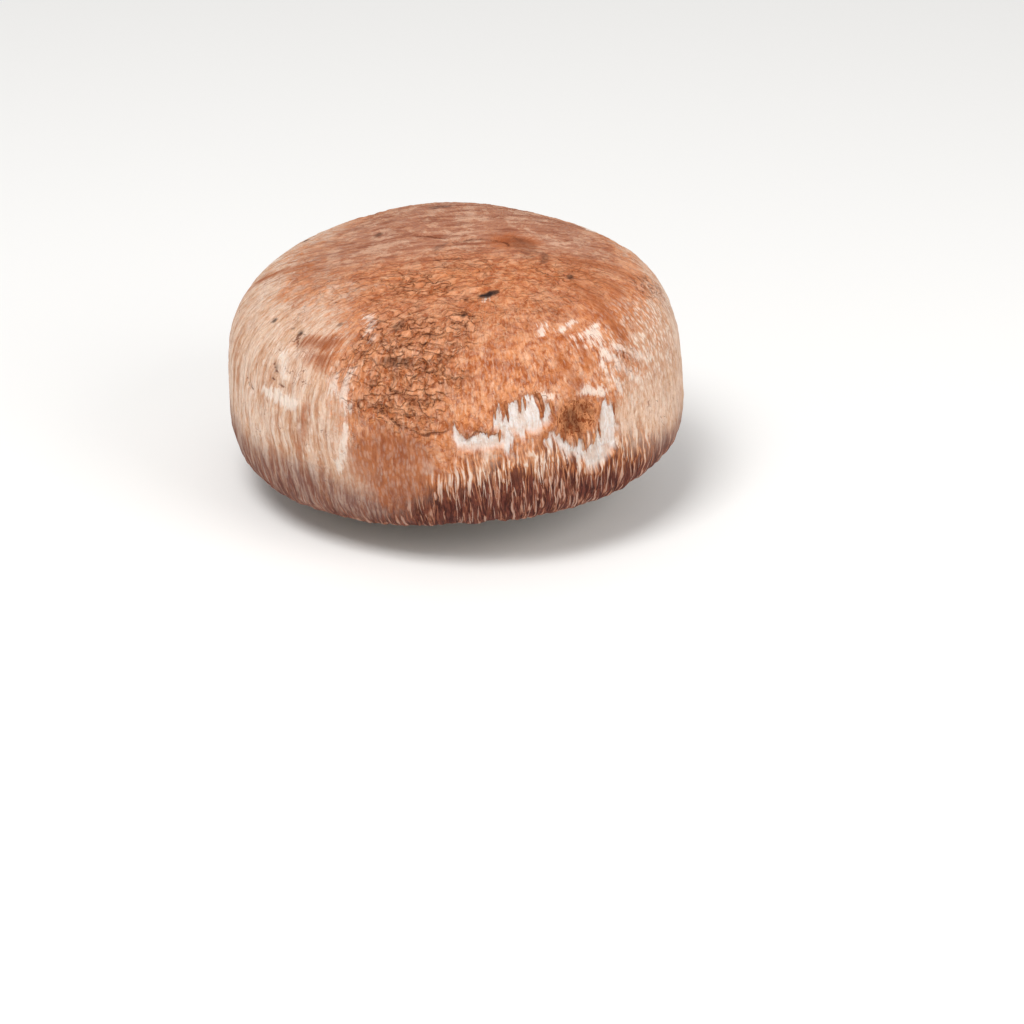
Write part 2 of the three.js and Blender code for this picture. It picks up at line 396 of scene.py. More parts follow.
# Strokes on the skin: from and to, each as degrees round from the front and millimetres down from the crown,
# then half the stroke's width at each end.
TORN_STROKES = [
    (14.0, 57.0, 13.5, 62.1, 0.3, 1.4),
    (18.0, 57.4, 17.0, 62.6, 0.5, 2.1),
    (22.0, 56.1, 20.0, 62.6, 0.5, 2.1),
    (23.5, 57.0, 22.5, 63.6, 0.6, 1.9),
    (27.0, 59.5, 26.0, 63.0, 0.6, 1.2),
    (14.5, 62.8, 15.5, 70.2, 1.4, 0.5),
    (19.0, 63.0, 19.0, 65.8, 1.7, 0.9),
    (0.5, 61.0, 3.5, 66.1, 0.3, 1.3),
    (5.5, 66.0, 12.5, 66.3, 1.7, 1.5),
    (9.0, 65.0, 9.5, 67.4, 1.5, 0.9),
    (27.5, 67.1, 31.5, 72.9, 0.8, 1.4),
    (34.0, 70.4, 34.5, 75.2, 0.6, 1.2),
    (25.5, 68.2, 26.0, 71.0, 0.8, 0.5),
    (44.0, 63.6, 43.0, 70.3, 0.5, 3.0),
    (43.0, 70.3, 41.5, 73.5, 3.0, 3.2),
    (37.8, 73.4, 38.2, 77.0, 1.6, 2.0),
    (41.5, 73.7, 39.8, 77.6, 3.2, 1.6),
]
# The hidden side is torn like this too: degrees, how much further down, which way round, and which strokes.
TORN_ELSEWHERE = [(112.0, 8.0, 1, (0, 7)), (196.0, -2.0, -1, (5, 13)), (275.0, 5.0, -1, (13, 17))]
# Pale smears and scuffs.
PALE_STROKES = [
    (50.0, 44.0, 46.5, 45.6, 0.9, 0.5),
    (46.0, 44.6, 45.6, 48.4, 0.3, 0.1),
    (43.5, 44.9, 43.4, 48.6, 0.4, 0.1),
    (40.5, 44.7, 40.6, 47.6, 0.5, 0.1),
    (48.5, 45.5, 48.0, 49.6, 0.4, 0.1),
    (33.5, 37.3, 31.0, 40.4, 0.7, 0.4),
    (44.0, 39.8, 38.0, 40.8, 0.5, 0.3),
    (47.5, 51.4, 55.5, 62.1, 0.7, 0.4),
    (45.0, 53.2, 49.5, 62.6, 0.5, 0.3),
    (51.0, 50.7, 61.5, 59.4, 0.6, 0.3),
    (301.0, 59.9, 311.5, 60.1, 0.9, 1.0),
    (303.5, 50.3, 308.0, 54.5, 0.7, 0.6),
    (321.5, 33.9, 333.0, 40.0, 0.8, 0.5),
    (9.0, 21.2, 8.0, 22.4, 0.35, 0.25),
    (26.0, 57.2, 29.0, 57.4, 0.7, 0.5),
    (38.0, 58.6, 43.0, 60.6, 0.6, 0.6),
    (330.0, 49.3, 330.0, 56.1, 0.8, 0.6),
    (326.0, 51.4, 325.5, 55.5, 0.6, 0.5),
    (331.0, 62.0, 327.0, 74.0, 0.5, 0.6),
    (302.0, 59.9, 312.5, 59.6, 0.9, 1.0),
    (325.0, 51.8, 331.0, 57.8, 0.5, 0.8),
    (120.0, 40.0, 128.0, 52.0, 1.2, 0.6),
    (185.0, 50.0, 196.0, 54.0, 0.8, 1.0),
    (246.0, 44.0, 240.0, 56.0, 0.7, 1.0),
]
# Bruises and browner streaks.
BROWN_STROKES = [
    (307.5, 46.0, 318.0, 44.0, 1.2, 2.6),
    (313.0, 48.5, 320.0, 48.0, 1.0, 2.2),
    (57.5, 35.0, 54.5, 51.0, 1.6, 1.2),
    (66.0, 39.0, 60.5, 50.0, 0.8, 0.5),
    (51.5, 52.4, 56.5, 55.9, 0.7, 0.3),
    (41.5, 47.4, 42.0, 52.2, 0.8, 0.6),
    (34.5, 49.7, 36.0, 55.7, 0.8, 0.6),
    (75.0, 24.0, 66.0, 40.0, 2.2, 1.2),
    (88.0, 22.0, 78.0, 43.0, 2.0, 1.0),
    (60.0, 28.0, 57.0, 43.0, 2.0, 1.0),
    (150.0, 10.0, 98.0, 16.0, 3.0, 2.0),
    (318.0, 60.0, 314.0, 72.0, 0.6, 0.4),
    (150.0, 40.0, 158.0, 56.0, 1.5, 1.0),
    (262.0, 36.0, 258.0, 52.0, 1.4, 0.8),
]
# Thin cracks of the skin. A negative width leaves only a faint line.
CRACKS = [
    (223.5, 19.3, 215.0, 14.3, 0.1, 0.1),
    (212.5, 11.0, 144.5, 9.7, 0.1, 0.2),
    (266.5, 12.0, 261.0, 4.5, 0.1, 0.1),
    (279.5, 17.6, 313.5, 18.4, -0.2, -0.2),
    (313.5, 18.4, 350.5, 13.9, -0.2, -0.2),
    (304.5, 44.7, 308.5, 48.5, 0.1, 0.0),
    (337.5, 56.1, 345.5, 60.7, 0.1, 0.2),
    (345.5, 60.7, 353.5, 63.8, 0.2, 0.2),
    (353.5, 63.8, 359.5, 62.6, 0.2, 0.1),
    (303.0, 56.3, 308.5, 57.4, 0.1, 0.1),
    (291.0, 60.5, 295.5, 61.8, 0.1, 0.1),
    (304.0, 44.5, 304.5, 46.5, 0.1, 0.0),
    (304.0, 44.5, 306.5, 43.8, 0.1, 0.0),
    (302.0, 52.6, 305.0, 54.2, 0.2, 0.1),
    (3.5, 65.2, 8.0, 63.4, 0.1, 0.1),
    (8.0, 63.4, 12.5, 64.6, 0.1, 0.1),
    (140.0, 50.0, 150.0, 53.0, 0.2, 0.1),
    (205.0, 58.0, 214.0, 55.0, 0.1, 0.2),
]
DIMPLE_CORE = [
    (33.0, 63.2, 35.2, 69.8, 1.3, 0.7),
    (33.0, 64.5, 30.5, 67.0, 1.2, 0.5),
    (36.0, 62.0, 39.5, 64.5, 0.4, 0.2),
]

# The dimple: degrees, millimetres down, and its reach across and down.
DIMPLE = (34.5, 64.5, 5.2, 4.8)
# Dark spots, most of them stains and one a smudge of painted shade: degrees, millimetres down, half width,
# half length, and how dark.
STAINS_AND_SHADE = [
    (357.5, 21.3, 0.7, 0.9, 0.6),
    (1.0, 28.2, 0.8, 1.3, 0.6),
    (231.0, 26.7, 1.6, 0.8, 0.6),
    (130.5, 13.3, 3.0, 1.0, 0.4),
    (231.0, 11.8, 3.4, 0.8, 0.35),
    # A soft smudge of painted shade along a crevice of the skin.
    (344.0, 45.5, 5.0, 1.3, 0.55),
    (337.0, 35.0, 1.3, 2.6, 0.5),
    (10.0, 19.6, 2.2, 1.8, 1.0),
    (14.0, 18.7, 1.8, 1.1, 0.9),
    (114.0, 12.5, 6.5, 3.2, 0.28),
    (88.0, 16.0, 3.6, 1.4, 0.4),
    (300.0, 44.1, 0.5, 0.4, 0.6),
    (315.0, 38.5, 0.6, 1.0, 0.6),
    (303.5, 53.6, 0.9, 1.2, 0.35),
    (65.0, 25.6, 1.4, 1.2, 0.75),
    (289.5, 45.1, 0.7, 0.7, 0.9),
    (304.0, 44.0, 0.9, 0.8, 0.8),
    (190.0, 30.0, 3.0, 1.4, 0.5),
    (235.0, 42.0, 1.0, 1.0, 0.8),
]
# A raised line of skin, where the pale side meets the brown: degrees and millimetres down.
PALE_RIDGE = [(300.5, 22.8), (318.0, 33.0), (332.5, 43.1), (332.0, 52.0), (330.0, 58.6), (324.0, 74.4)]

# By degrees round from the front: how far down the rich brown of the skin reaches and how softly it ends,
# where the frayed fibres of the margin begin, how strongly the skin is ridged, and from where painted shade
# darkens it towards the margin, with some of the margin's own darker brown.
SKIN_ROUND = np.array([
    (-100.0, 38.0, 18.0, 86.0, 1.0, 69.0),
    (-62.0, 32.0, 18.0, 86.0, 1.0, 68.5),
    (-48.0, 35.0, 16.0, 86.0, 1.0, 67.5),
    (-38.0, 46.0, 16.0, 86.0, 0.8, 67.5),
    (-28.0, 66.0, 14.0, 86.0, 0.25, 71.0),
    (-18.0, 84.0, 8.0, 84.0, 0.1, 72.0),
    (-3.0, 76.0, 8.0, 72.0, 0.1, 70.5),
    (10.0, 72.0, 8.0, 69.0, 0.1, 69.0),
    (28.0, 71.0, 9.0, 68.5, 0.1, 69.5),
    (40.0, 70.0, 10.0, 68.0, 0.1, 72.5),
    (52.0, 56.0, 14.0, 75.0, 0.1, 75.0),
    (66.0, 50.0, 14.0, 82.0, 0.3, 73.0),
    (90.0, 47.0, 14.0, 87.0, 0.5, 73.0),
    (125.0, 44.0, 12.0, 82.0, 0.5, 73.0),
    (160.0, 54.0, 9.0, 78.0, 0.3, 74.0),
    (200.0, 48.0, 12.0, 83.0, 0.6, 73.0),
    (235.0, 36.0, 15.0, 86.0, 1.0, 70.0),
])


def torn_strokes():
    """The strokes of all the torn places, also those of the hidden side."""
    strokes = list(TORN_STROKES)
    for on, further, way, (first, last) in TORN_ELSEWHERE:
        for a, b, c, d, *widths in TORN_STROKES[first:last]:
            strokes.append((on + way * a, b + further, on + way * c, d + further, *widths))
    return strokes


def apart(turn, down, degrees, at):
    """How far each place is from a spot, across and down, in millimetres."""
    angle = turn - math.radians(degrees)
    across = np.arctan2(np.sin(angle), np.cos(angle)) * np.minimum(down, 50.0)
    return across, down - at


def inside_strokes(turn, down, strokes):
    """How deep inside the nearest stroke each place is, in millimetres: negative outside them."""
    best = np.full(len(turn), -4.0)
    for degrees, at, degrees_to, at_to, width, width_to in strokes:
        across, along = apart(turn, down, degrees, at)
        step = np.array([math.radians(degrees_to - degrees) * min(at, 50.0), at_to - at])
        share = np.clip((across * step[0] + along * step[1]) / (step @ step), 0.0, 1.0)
        off = np.hypot(across - share * step[0], along - share * step[1])
        best = np.maximum(best, width + (width_to - width) * share - off)
    return best


def right_of_line(turn, down, line):
    """Distance to the right of a line that runs down the skin."""
    stations = [at for _, at in line]
    angles = [degrees - 360.0 if degrees > 180.0 else degrees for degrees, _ in line]
    difference = (np.degrees(turn) - np.interp(down, stations, angles) + 180.0) % 360.0 - 180.0
    return np.radians(difference) * np.minimum(down, 50.0)


def crease(values, width):
    """1 where smooth noise passes zero, falling off within this width of its values: a net of creases."""
    return np.exp(-((values / width) ** 2))


def make_cap(finish):
    """The cap, with the relief of its skin in its mesh, and fields at its points that its material reads."""
    outline, down_at = cap_outline()
    cap = spun("cap_skin", outline, CAP_STEPS)
    points = points_of(cap)
    place = np.rint(read(cap, "place")).astype(int)
    down = down_at[place]
    turn = np.arctan2(points[:, 0], -points[:, 1])
    skin = place < SKIN_RINGS
    on_dome = skin & (points[:, 2] > WIDEST_Z)
    points[on_dome] = move_crown(points[on_dome])
    points = grow_unevenly(points)
    move_points(cap, points)
    normals = normals_of(cap)

    strand = np.column_stack([45.0 * np.sin(turn), -45.0 * np.cos(turn), down])
    wander = strand + np.column_stack([grain(points, 9.0, 1), grain(points, 9.0, 2), 0 * down]) * 1.6
    warped = points + np.column_stack([grain(points, 4.0, s) for s in (3, 4, 5)]) * 1.6
    drawn_turn = turn + 0.016 * grain(points, 3.0, 27)
    drawn_down = down + 0.8 * grain(points, 3.0, 28)
    degrees = np.degrees(turn)
    reach, softness, frayed_from, ridged, shade_from = (
        np.interp(degrees, SKIN_ROUND[:, 0], SKIN_ROUND[:, k], period=360.0) for k in range(1, 6)
    )
    off_crown = ease(12.0, 34.0, down)

    # Broad lumps, as in the solid.
    lumps = waves(turn, (2, 0.3, down / 19), (3, 0.25, 1 - down / 13), (5, 0.2, down / 11))
    lumps = lumps * ease(5, 25, down) + 0.35 * grain(points, 14.0, 6)

    # Where the skin is rich brown, lumpy and crackled, frayed, or ridged.
    patchy = 7.0 * grain(points, 9.0, 7) + 5.0 * grain(points, 3.5, 8)
    ripe = ease(-1.0, 1.0, (reach - down + patchy) / softness)
    across, along = apart(turn, down, 64.0, 55.0)
    scaly = 1.0 - ease(0.4, 1.1, np.hypot(across / 24.0, along / 18.0) + 0.2 * grain(points, 6.0, 29))
    across, along = apart(turn, down, 205.0, 52.0)
    scaly = np.maximum(scaly, 0.8 - ease(0.4, 1.1, np.hypot(across / 30.0, along / 20.0)))
    scaly = np.maximum(scaly, 0.25)
    across, along = apart(turn, down, 347.0, 45.0)
    crackled = 1.0 - ease(0.55, 1.2, np.hypot(across / 16.0, along / 22.0) + 0.3 * grain(points, 6.0, 9))
    crackled = np.maximum(crackled, 0.40 * (1.0 - ease(30.0, 46.0, down + 6.0 * grain(points, 8.0, 10))))
    here_and_there = ease(0.15, 0.5, grain(points, 17.0, 11)) * (1.0 - ease(50.0, 66.0, down))
    crackled = np.maximum(crackled, 0.6 * here_and_there)
    behind = ease(-14.0, 4.0, points[:, 1]) * (1.0 - ease(30.0, 44.0, down))
    crackled = crackled * (1.0 - 0.8 * behind)
    across, along = apart(turn, down, 318.0, 18.0)
    near_crown = 1.0 - ease(0.6, 1.3, np.hypot(across / 11.0, along / 6.5) + 0.3 * grain(points, 5.0, 30))
    crackled = np.maximum(crackled, 0.8 * near_crown)
    frayed = ease(-5.0, 8.0, down - frayed_from + 4.0 * grain(points, 5.0, 12))
    ridged = ridged * ease(44.0, 62.0, down + 5.0 * grain(points, 9.0, 13))

    # Lumps of the crackled skin, parted by creases.
    big, small = grain(warped, 4.2, 14), grain(warped, 2.1, 15)
    pillow = np.minimum(1.3 * np.abs(big) + 0.6 * np.abs(small), 1.0) * crackled
    creases = np.maximum(crease(big, 0.16), 0.7 * crease(small, 0.2)) * crackled

    # Long ridges, and strands where the margin is frayed.
    long_ridges = grain(wander, (1.7, 1.7, 24.0), 16) + 0.5 * grain(wander, (1.0, 1.0, 12.0), 17)
    strands = grain(wander, (1.5, 1.5, 9.0), 18) + 0.6 * grain(wander, (0.9, 0.9, 5.0), 19)

    # Torn places: the skin is gone and the flesh shows, with a toothed upper edge.
    strokes = torn_strokes()
    teeth = grain(strand, (2.0, 2.0, 12.0), 20) + 0.6 * grain(strand, (1.1, 1.1, 7.0), 21)
    torn_field = inside_strokes(drawn_turn, drawn_down, strokes) + 0.35 * teeth
    falling = (inside_strokes(drawn_turn, drawn_down + 0.6, strokes) + 0.35 * teeth - torn_field) / 0.6
    torn = ease(-0.4, 0.5, torn_field)
    torn_rim = np.exp(-(((torn_field + 0.7) / 0.6) ** 2))

    # The dimple, the crack of the skin at the front left, and the ridge beside the pale side.
    across, along = apart(turn, down, *DIMPLE[:2])
    dimple = np.exp(-((across / DIMPLE[2]) ** 2) - (along / DIMPLE[3]) ** 2)
    crack_field = inside_strokes(drawn_turn, drawn_down, CRACKS)
    flap_crack = ease(-0.9, 0.0, crack_field)
    across, along = apart(turn, down, 343.0, 71.0)
    smooth = 1.0 - ease(0.7, 1.2, np.hypot(across / 12.0, along / 9.5) + 0.15 * grain(points, 4.0, 26))
    ridge_span = ease(18.0, 28.0, down) * (1.0 - ease(72.0, 82.0, down))
    ridge = np.exp(-(((right_of_line(turn, down, PALE_RIDGE) + 1.4) / 1.8) ** 2)) * ridge_span

    relief = (
        0.55 * (pillow - 0.35 * crackled)
        - 0.22 * creases
        + 0.12 * strands * off_crown * (1.0 - 0.7 * crackled)
        + 0.20 * long_ridges * ridged
        + 0.30 * strands * frayed
        - 0.40 * torn
        + 0.18 * torn_rim
        - 1.0 * dimple
        - 0.45 * flap_crack
        + 0.30 * ridge
        + 0.10 * grain(points, 1.7, 22)
    )
    lip = np.exp(-(((down - down_at[SKIN_RINGS + 2]) / 3.2) ** 2))
    ragged = lip * (0.9 * grain(strand, (3.0, 3.0, 4.0), 23) + 0.6 * grain(strand, (1.3, 1.3, 3.0), 24))
    rise = np.where(skin, lumps + relief, 0.0) + ragged
    move_points(cap, leaned(points + normals * rise[:, None]))

    stain_and_shade = np.zeros(len(down))
    blots = 0.5 * grain(points, 1.3, 25)
    for spot, at, width, length, darkness in STAINS_AND_SHADE:
        across, along = apart(turn, down, spot, at)
        near = 1.0 - np.hypot(across / width, along / length) + blots
        stain_and_shade = np.maximum(stain_and_shade, darkness * ease(-0.15, 0.45, near))
    for name, values in {
        "strand": strand,
        "down": down,
        "ripe": ripe,
        "crackled": crackled,
        "creases": creases,
        "cracks": crack_field,
        "smooth": smooth,
        "scaly": scaly,
        "torn": torn_field,
        "below": ease(0.0, -0.9, falling),
        "core": inside_strokes(drawn_turn, drawn_down, DIMPLE_CORE),
        # Painted shade towards the margin, with some of its own darker brown: how far past its start each
        # place lies.
        "shaded": ease(0.0, 1.0, (down - shade_from) / 14.0),
        "stain_and_shade": stain_and_shade,
        "dimple": dimple,
        "frayed": frayed,
        "ridged": ridged,
        "ridges": long_ridges,
        "strands": strands,
        "pale": inside_strokes(drawn_turn, drawn_down, PALE_STROKES),
        "brown": inside_strokes(drawn_turn, drawn_down, BROWN_STROKES),
        "behind": behind,
    }.items():
        store(cap, name, values)

    # The skin as a grid of places and normals, for what lies on it.
    step = np.rint(turn / (2 * math.pi) * CAP_STEPS).astype(int) % CAP_STEPS
    grid = np.zeros((SKIN_RINGS, CAP_STEPS, 6))
    both = np.hstack([points_of(cap), normals_of(cap)])
    grid[place[skin], step[skin]] = both[skin]
    grid[0] = both[place == 0][0]
    return set_down(cap, finish, "cap", "cap"), grid, down_at[SKIN_RINGS - 1]


def on_skin(grid, length, turn, down):
    """Place and normal on the skin, for any azimuth and distance down from the crown."""
    row = np.clip(down / length, 0.0, 1.0) * (SKIN_RINGS - 1.001)
    column = (turn / (2 * math.pi)) % 1.0 * CAP_STEPS
    r, c = row.astype(int), column.astype(int) % CAP_STEPS
    u, v = (row - r)[:, None], (column - np.floor(column))[:, None]
    right = (c + 1) % CAP_STEPS
    upper = grid[r, c] * (1 - v) + grid[r, right] * v
    lower = grid[r + 1, c] * (1 - v) + grid[r + 1, right] * v
    both = upper * (1 - u) + lower * u
    normals = both[:, 3:]
    return both[:, :3], normals / np.linalg.norm(normals, axis=1)[:, None]


FIBRE_RINGS = 9
# Teeth of skin that hang into the torn places: degrees, top, length and half width.
TEETH = [
    (13.2, 57.5, 3.2, 0.35),
    (16.0, 56.2, 5.6, 0.5),
    (19.6, 56.4, 3.4, 0.4),
    (21.2, 56.0, 3.6, 0.35),
    (25.2, 55.8, 6.4, 0.55),
    (28.2, 58.0, 4.0, 0.4),
    (4.5, 63.0, 2.4, 0.3),
    (10.5, 62.8, 2.6, 0.3),
    (13.5, 63.4, 3.2, 0.4),
    (30.5, 66.5, 3.4, 0.4),
    (33.5, 68.0, 4.0, 0.45),
    (36.0, 69.0, 4.2, 0.5),
    (40.5, 67.5, 4.2, 0.45),
    (38.5, 69.5, 3.0, 0.4),
    (45.8, 64.0, 3.6, 0.35),
]


def make_fibres(grid, length, finish):
    """Loose fibres of skin: strands on the frayed margin, and teeth that hang into the torn places."""
    draw = np.random.default_rng(11)
    fibres = []
    for _ in range(360):
        degrees = draw.normal(24, 20)
        top = 69.0 + 15.0 * draw.uniform(0, 1) ** 1.2 + 6.0 * abs(degrees - 24.0) / 38.0
        reach, half = draw.uniform(4.0, 9.0), draw.uniform(0.18, 0.36)
        lift, tint = draw.uniform(0.0, 0.08), draw.uniform(0.2, 1.0)
        fibres.append((degrees, top, reach, half, lift, tint, 0.0))
    for _ in range(420):
        degrees, top = draw.uniform(66, 352), draw.uniform(82, 92)
        reach, half = draw.uniform(3, 7), draw.uniform(0.15, 0.3)
        lift, tint = draw.uniform(0.0, 0.12), draw.uniform(0.0, 0.5)
        fibres.append((degrees, top, reach, half, lift, tint, 0.0))
    for on, further, way, _ in [(0.0, 0.0, 1, None)] + TORN_ELSEWHERE:
        for degrees, top, reach, half in TEETH:
            lift, tint, curl = draw.uniform(0.1, 0.3), draw.uniform(0.1, 0.4), draw.uniform(0.1, 0.4)
            fibres.append((on + way * degrees, top + further, reach, half, lift, tint, curl))
    middle = np.array([(math.radians(fibre[0]), fibre[1] + fibre[2] / 2) for fibre in fibres])
    depth = inside_strokes(middle[:, 0], middle[:, 1], torn_strokes())
    # Teeth, which curl, stay only at the torn places, and strands only outside them.
    fibres = [fibre for fibre, deep in zip(fibres, depth) if (deep > -1.2 if fibre[6] else deep < -0.6)]
    s = np.linspace(0.0, 1.0, FIBRE_RINGS)
    vertices, faces, tints, shades = [], [], [], []
    for degrees, top, reach, half, lift, tint, curl in fibres:
        drift = draw.uniform(-0.12, 0.12) * reach
        wave = draw.uniform(-0.25, 0.25) * np.sin(s * draw.uniform(1.5, 3.5) + draw.uniform(0, 6))
        down = np.minimum(top + reach * s, length - 0.5)
        angle = math.radians(degrees) + (drift * s + wave) / 45.0
        place, normal = on_skin(grid, length, angle, down)
        aside, _ = on_skin(grid, length, angle + 0.002, down)
        aside = aside - place
        aside /= np.linalg.norm(aside, axis=1)[:, None]
        width = half * np.sin(np.pi * np.clip(s * 0.94 + 0.06, 0, 1)) ** 0.6
        if curl:
            width = half * (1.0 - s) ** 0.7 * 1.2 + 0.03
        rise = lift * np.sin(np.pi * s) + curl * s**2 - 0.12
        back = place + normal * (rise + width * 0.55)[:, None]
        left = place + normal * (rise - 0.05)[:, None] - aside * width[:, None]
        right = place + normal * (rise - 0.05)[:, None] + aside * width[:, None]
        first = len(vertices) * FIBRE_RINGS * 3
        vertices.append(np.stack([back, left, right], axis=1).reshape(-1, 3))
        for k in range(FIBRE_RINGS - 1):
            a, b = first + 3 * k, first + 3 * k + 3
            faces += [(a, a + 1, b + 1, b), (a + 1, a + 2, b + 2, b + 1), (a + 2, a, b, b + 2)]
        end = first + 3 * (FIBRE_RINGS - 1)
        faces += [(first, first + 2, first + 1), (end, end + 1, end + 2)]
        tints.append(np.full(FIBRE_RINGS * 3, tint))
        # Painted shade on the fibres low on the margin.
        shades.append(np.repeat(ease(70.0, 83.0, down), 3))
    mesh = bpy.data.meshes.new("skin_fibres")
    mesh.from_pydata(np.vstack(vertices).tolist(), [], faces)
    piece = bpy.data.objects.new("skin_fibres", mesh)
    bpy.context.collection.objects.link(piece)
    store(piece, "tint", np.concatenate(tints))
    store(piece, "shaded", np.concatenate(shades))
    select_only(piece)
    bpy.ops.object.mode_set(mode="EDIT")
    bpy.ops.mesh.select_all(action="SELECT")
    bpy.ops.mesh.normals_make_consistent(inside=False)
    bpy.ops.object.mode_set(mode="OBJECT")
    return set_down(piece, finish, "cap")


def fibre_finish():
    """Fibres of skin, from deep brown to cream, darkened low on the margin by painted shade."""
    f = Finish("skin_fibres")
    tint = f.attribute("tint") + (f.noise(f.millimetres(), 1.2, 4.0, 0.65) - 0.5) * 0.8
    colour = f.between(f.ease(0.0, 0.45, tint), "#86431f", "#c98558")
    colour = f.over(colour, (f.ease(0.45, 0.9, tint), "#f6dec9"))
    shaded = f.attribute("shaded")
    # Painted shade low on the margin, with some of its own darker brown.
    colour = f.over(colour, (shaded * 0.75, "#854b3b"))
    return f.surface(colour, 0.7, None, SOFT_FLESH)


def skin_finish():
    """Dry brown skin: crackled round the crown, fibrous and paler at the sides, torn to the flesh."""
    f = Finish("cap_skin")
    here = f.millimetres()
    down = f.attribute("down")
    crackled = f.attribute("crackled") * (1.0 - f.attribute("smooth"))
    frayed = f.attribute("frayed")
    smooth = f.attribute("smooth")
    upper = f.ease(50.0, 62.0, f.node("ShaderNodeSeparateXYZ", {}, {0: here}, output=2))
    behind = f.attribute("behind") * upper
    off_crown = f.ease(12.0, 34.0, down) * (1.0 - upper * 0.5)
    strand = f.warped(f.attribute_vector("strand"), here, 7.0, 1.8)
    swirled = f.warped(here, here, 2.6, 1.7)

    broad = f.noise(here, 7.0, 5.0, 0.62, 0.3)
    mottle = f.noise(here, 2.0, 5.0, 0.68, 0.5)
    grit = f.noise(here, 0.7, 3.0, 0.7)
    streaks = f.noise(strand, (0.9, 0.9, 7.0), 4.0, 0.62)
    hairs = f.noise(strand, (0.36, 0.36, 3.4), 3.0, 0.65)
    flecks = f.noise(strand, (0.65, 0.65, 2.0), 3.0, 0.68, 0.5)
    tresses = f.noise(strand, (0.68, 0.68, 8.0), 2.0, 0.5, 0.25)
    combed = f.noise(strand, (1.1, 1.1, 16.0), 2.0, 0.5)
    blotches = f.noise(here, 4.2, 4.0, 0.6, 0.6)
    across = f.noise(f.warped(here, here, 8.0, 3.0), (9.0, 1.7, 4.0), 5.0, 0.65, 0.3)
    flakes = f.cell_tone(strand, (0.7, 0.7, 3.2))
    along = (streaks - 0.5) * off_crown

    # Rich brown skin and pale skin, each mottled and streaked.
    calm = 1.0 - upper * 0.35 - behind * 0.35
    rich = f.between(f.ease(0.36, 0.64, mottle + (broad - 0.5) * 0.5), "#b25a25", "#e39460")
    rich = f.over(
        rich,
        (f.ease(0.47, 0.35, blotches) * 0.55, "#a54d1b"),
        (f.ease(0.56, 0.68, blotches) * 0.45, "#f1ba95"),
        (f.ease(0.55, 0.68, flecks + along * 0.3) * calm * 0.45, "#f8ceae"),
        (f.ease(0.47, 0.37, mottle + along * 0.5) * calm * 0.7, "#95421a"),
        (f.ease(0.45, 0.34, flecks) * calm * 0.4, "#97461d"),
        (f.ease(0.57, 0.70, grit + (flecks - 0.5) * 0.3) * calm * 0.35, "#f9c9a2"),
        (f.ease(0.43, 0.32, grit) * calm * 0.45, "#8f4318"),
    )
    pale = f.between(f.ease(0.36, 0.64, broad + along * 0.4), "#dfb698", "#f0d3bd")
    pale = f.over(
        pale,
        (f.ease(0.52, 0.64, hairs + (streaks - 0.5) * 0.5) * 0.55, "#c0825a"),
        (f.ease(0.53, 0.66, streaks) * 0.45, "#c58b64"),
        (f.ease(0.54, 0.66, flecks) * 0.5, "#faebde"),
        (f.ease(0.43, 0.33, flecks + (grit - 0.5) * 0.4) * 0.5, "#b3754d"),
    )
    ripeness = f.attribute("ripe") * 1.1 + (mottle - 0.5) * 1.9 + (flecks - 0.5) * 0.9 + along * 1.4
    colour = f.blend(f.ease(0.15, 0.85, ripeness), pale, rich)
    colour = f.over(
        colour,
        ((flakes - 0.5) * 0.5 * off_crown, "#f8d5b8"),
        ((0.5 - flakes) * 0.4 * off_crown, "#8d5230"),
    )

    # The top is duller, and greyer behind the crown, with dark streaks that run across and pale scuffs.
    colour = f.over(colour, (upper * 0.12 + behind * 0.55, "#9b7260"))
    scuffs = f.ease(0.50, 0.62, broad + (mottle - 0.5) * 0.6)
    colour = f.over(
        colour,
        ((upper * 0.2 + behind * 0.3) * scuffs, "#d9b298"),
        ((upper * 0.35 + behind * 0.35) * f.ease(0.50, 0.38, across), "#7c4029"),
        (behind * f.ease(0.54, 0.66, across) * 0.35, "#d8b198"),
        (behind * f.contour(across, 0.012) * f.ease(0.48, 0.56, broad) * 0.7, "#68382a"),
    )

    # The smooth brown place at the front left.
    even = f.between(f.ease(0.35, 0.65, streaks + (broad - 0.5) * 0.4), "#8e4c30", "#af6a44")
    colour = f.blend(smooth * 0.8, colour, even)

    # Ridges: pale backs and brown grooves.
    ridges = f.attribute("ridges") * 0.5 + (streaks - 0.5) * 1.8 + (combed - 0.5) * 4.5
    ridged = f.attribute("ridged")
    colour = f.over(
        colour,
        (ridged * f.ease(0.1, 0.6, ridges) * 0.5, "#f8e3d2"),
        (ridged * f.ease(0.0, -0.6, ridges) * 0.65, "#b4724b"),
    )

    # Small overlapping scales, clearest on the pale skin at the right: pale backs, with tan between them
    # that is partly the skin's own tone and partly painted shade under their edges.
    scale_back = f.ease(0.62, 0.20, f.cell_distance(strand, (0.65, 0.65, 1.9)) + (grit - 0.5) * 0.5)
    scaly = f.attribute("scaly") * off_crown
    colour = f.over(
        colour,
        (scaly * scale_back * 0.6, "#fae6d5"),
        (scaly * (1.0 - scale_back) * 0.4, "#bd7a50"),
    )

    # Browned places and pale places.
    browned = f.ease(-2.0, 1.4, f.attribute("brown") + (streaks - 0.5) * 5.0 + (mottle - 0.5) * 5.0)
    colour = f.over(colour, (browned * 0.65, "#aa5d32"))
    bruised = f.ease(0.3, 2.2, f.attribute("brown") + (streaks - 0.5) * 6.0)
    colour = f.over(colour, (bruised * 0.5, "#8a4523"))
    fringed = (streaks - 0.5) * 5.0 + (hairs - 0.5) * 4.0 + (mottle - 0.5) * 3.0
    pale_places = f.ease(-0.8, 0.6, f.attribute("pale") + fringed)
    colour = f.over(colour, (pale_places * 0.75, "#f8e8da"))
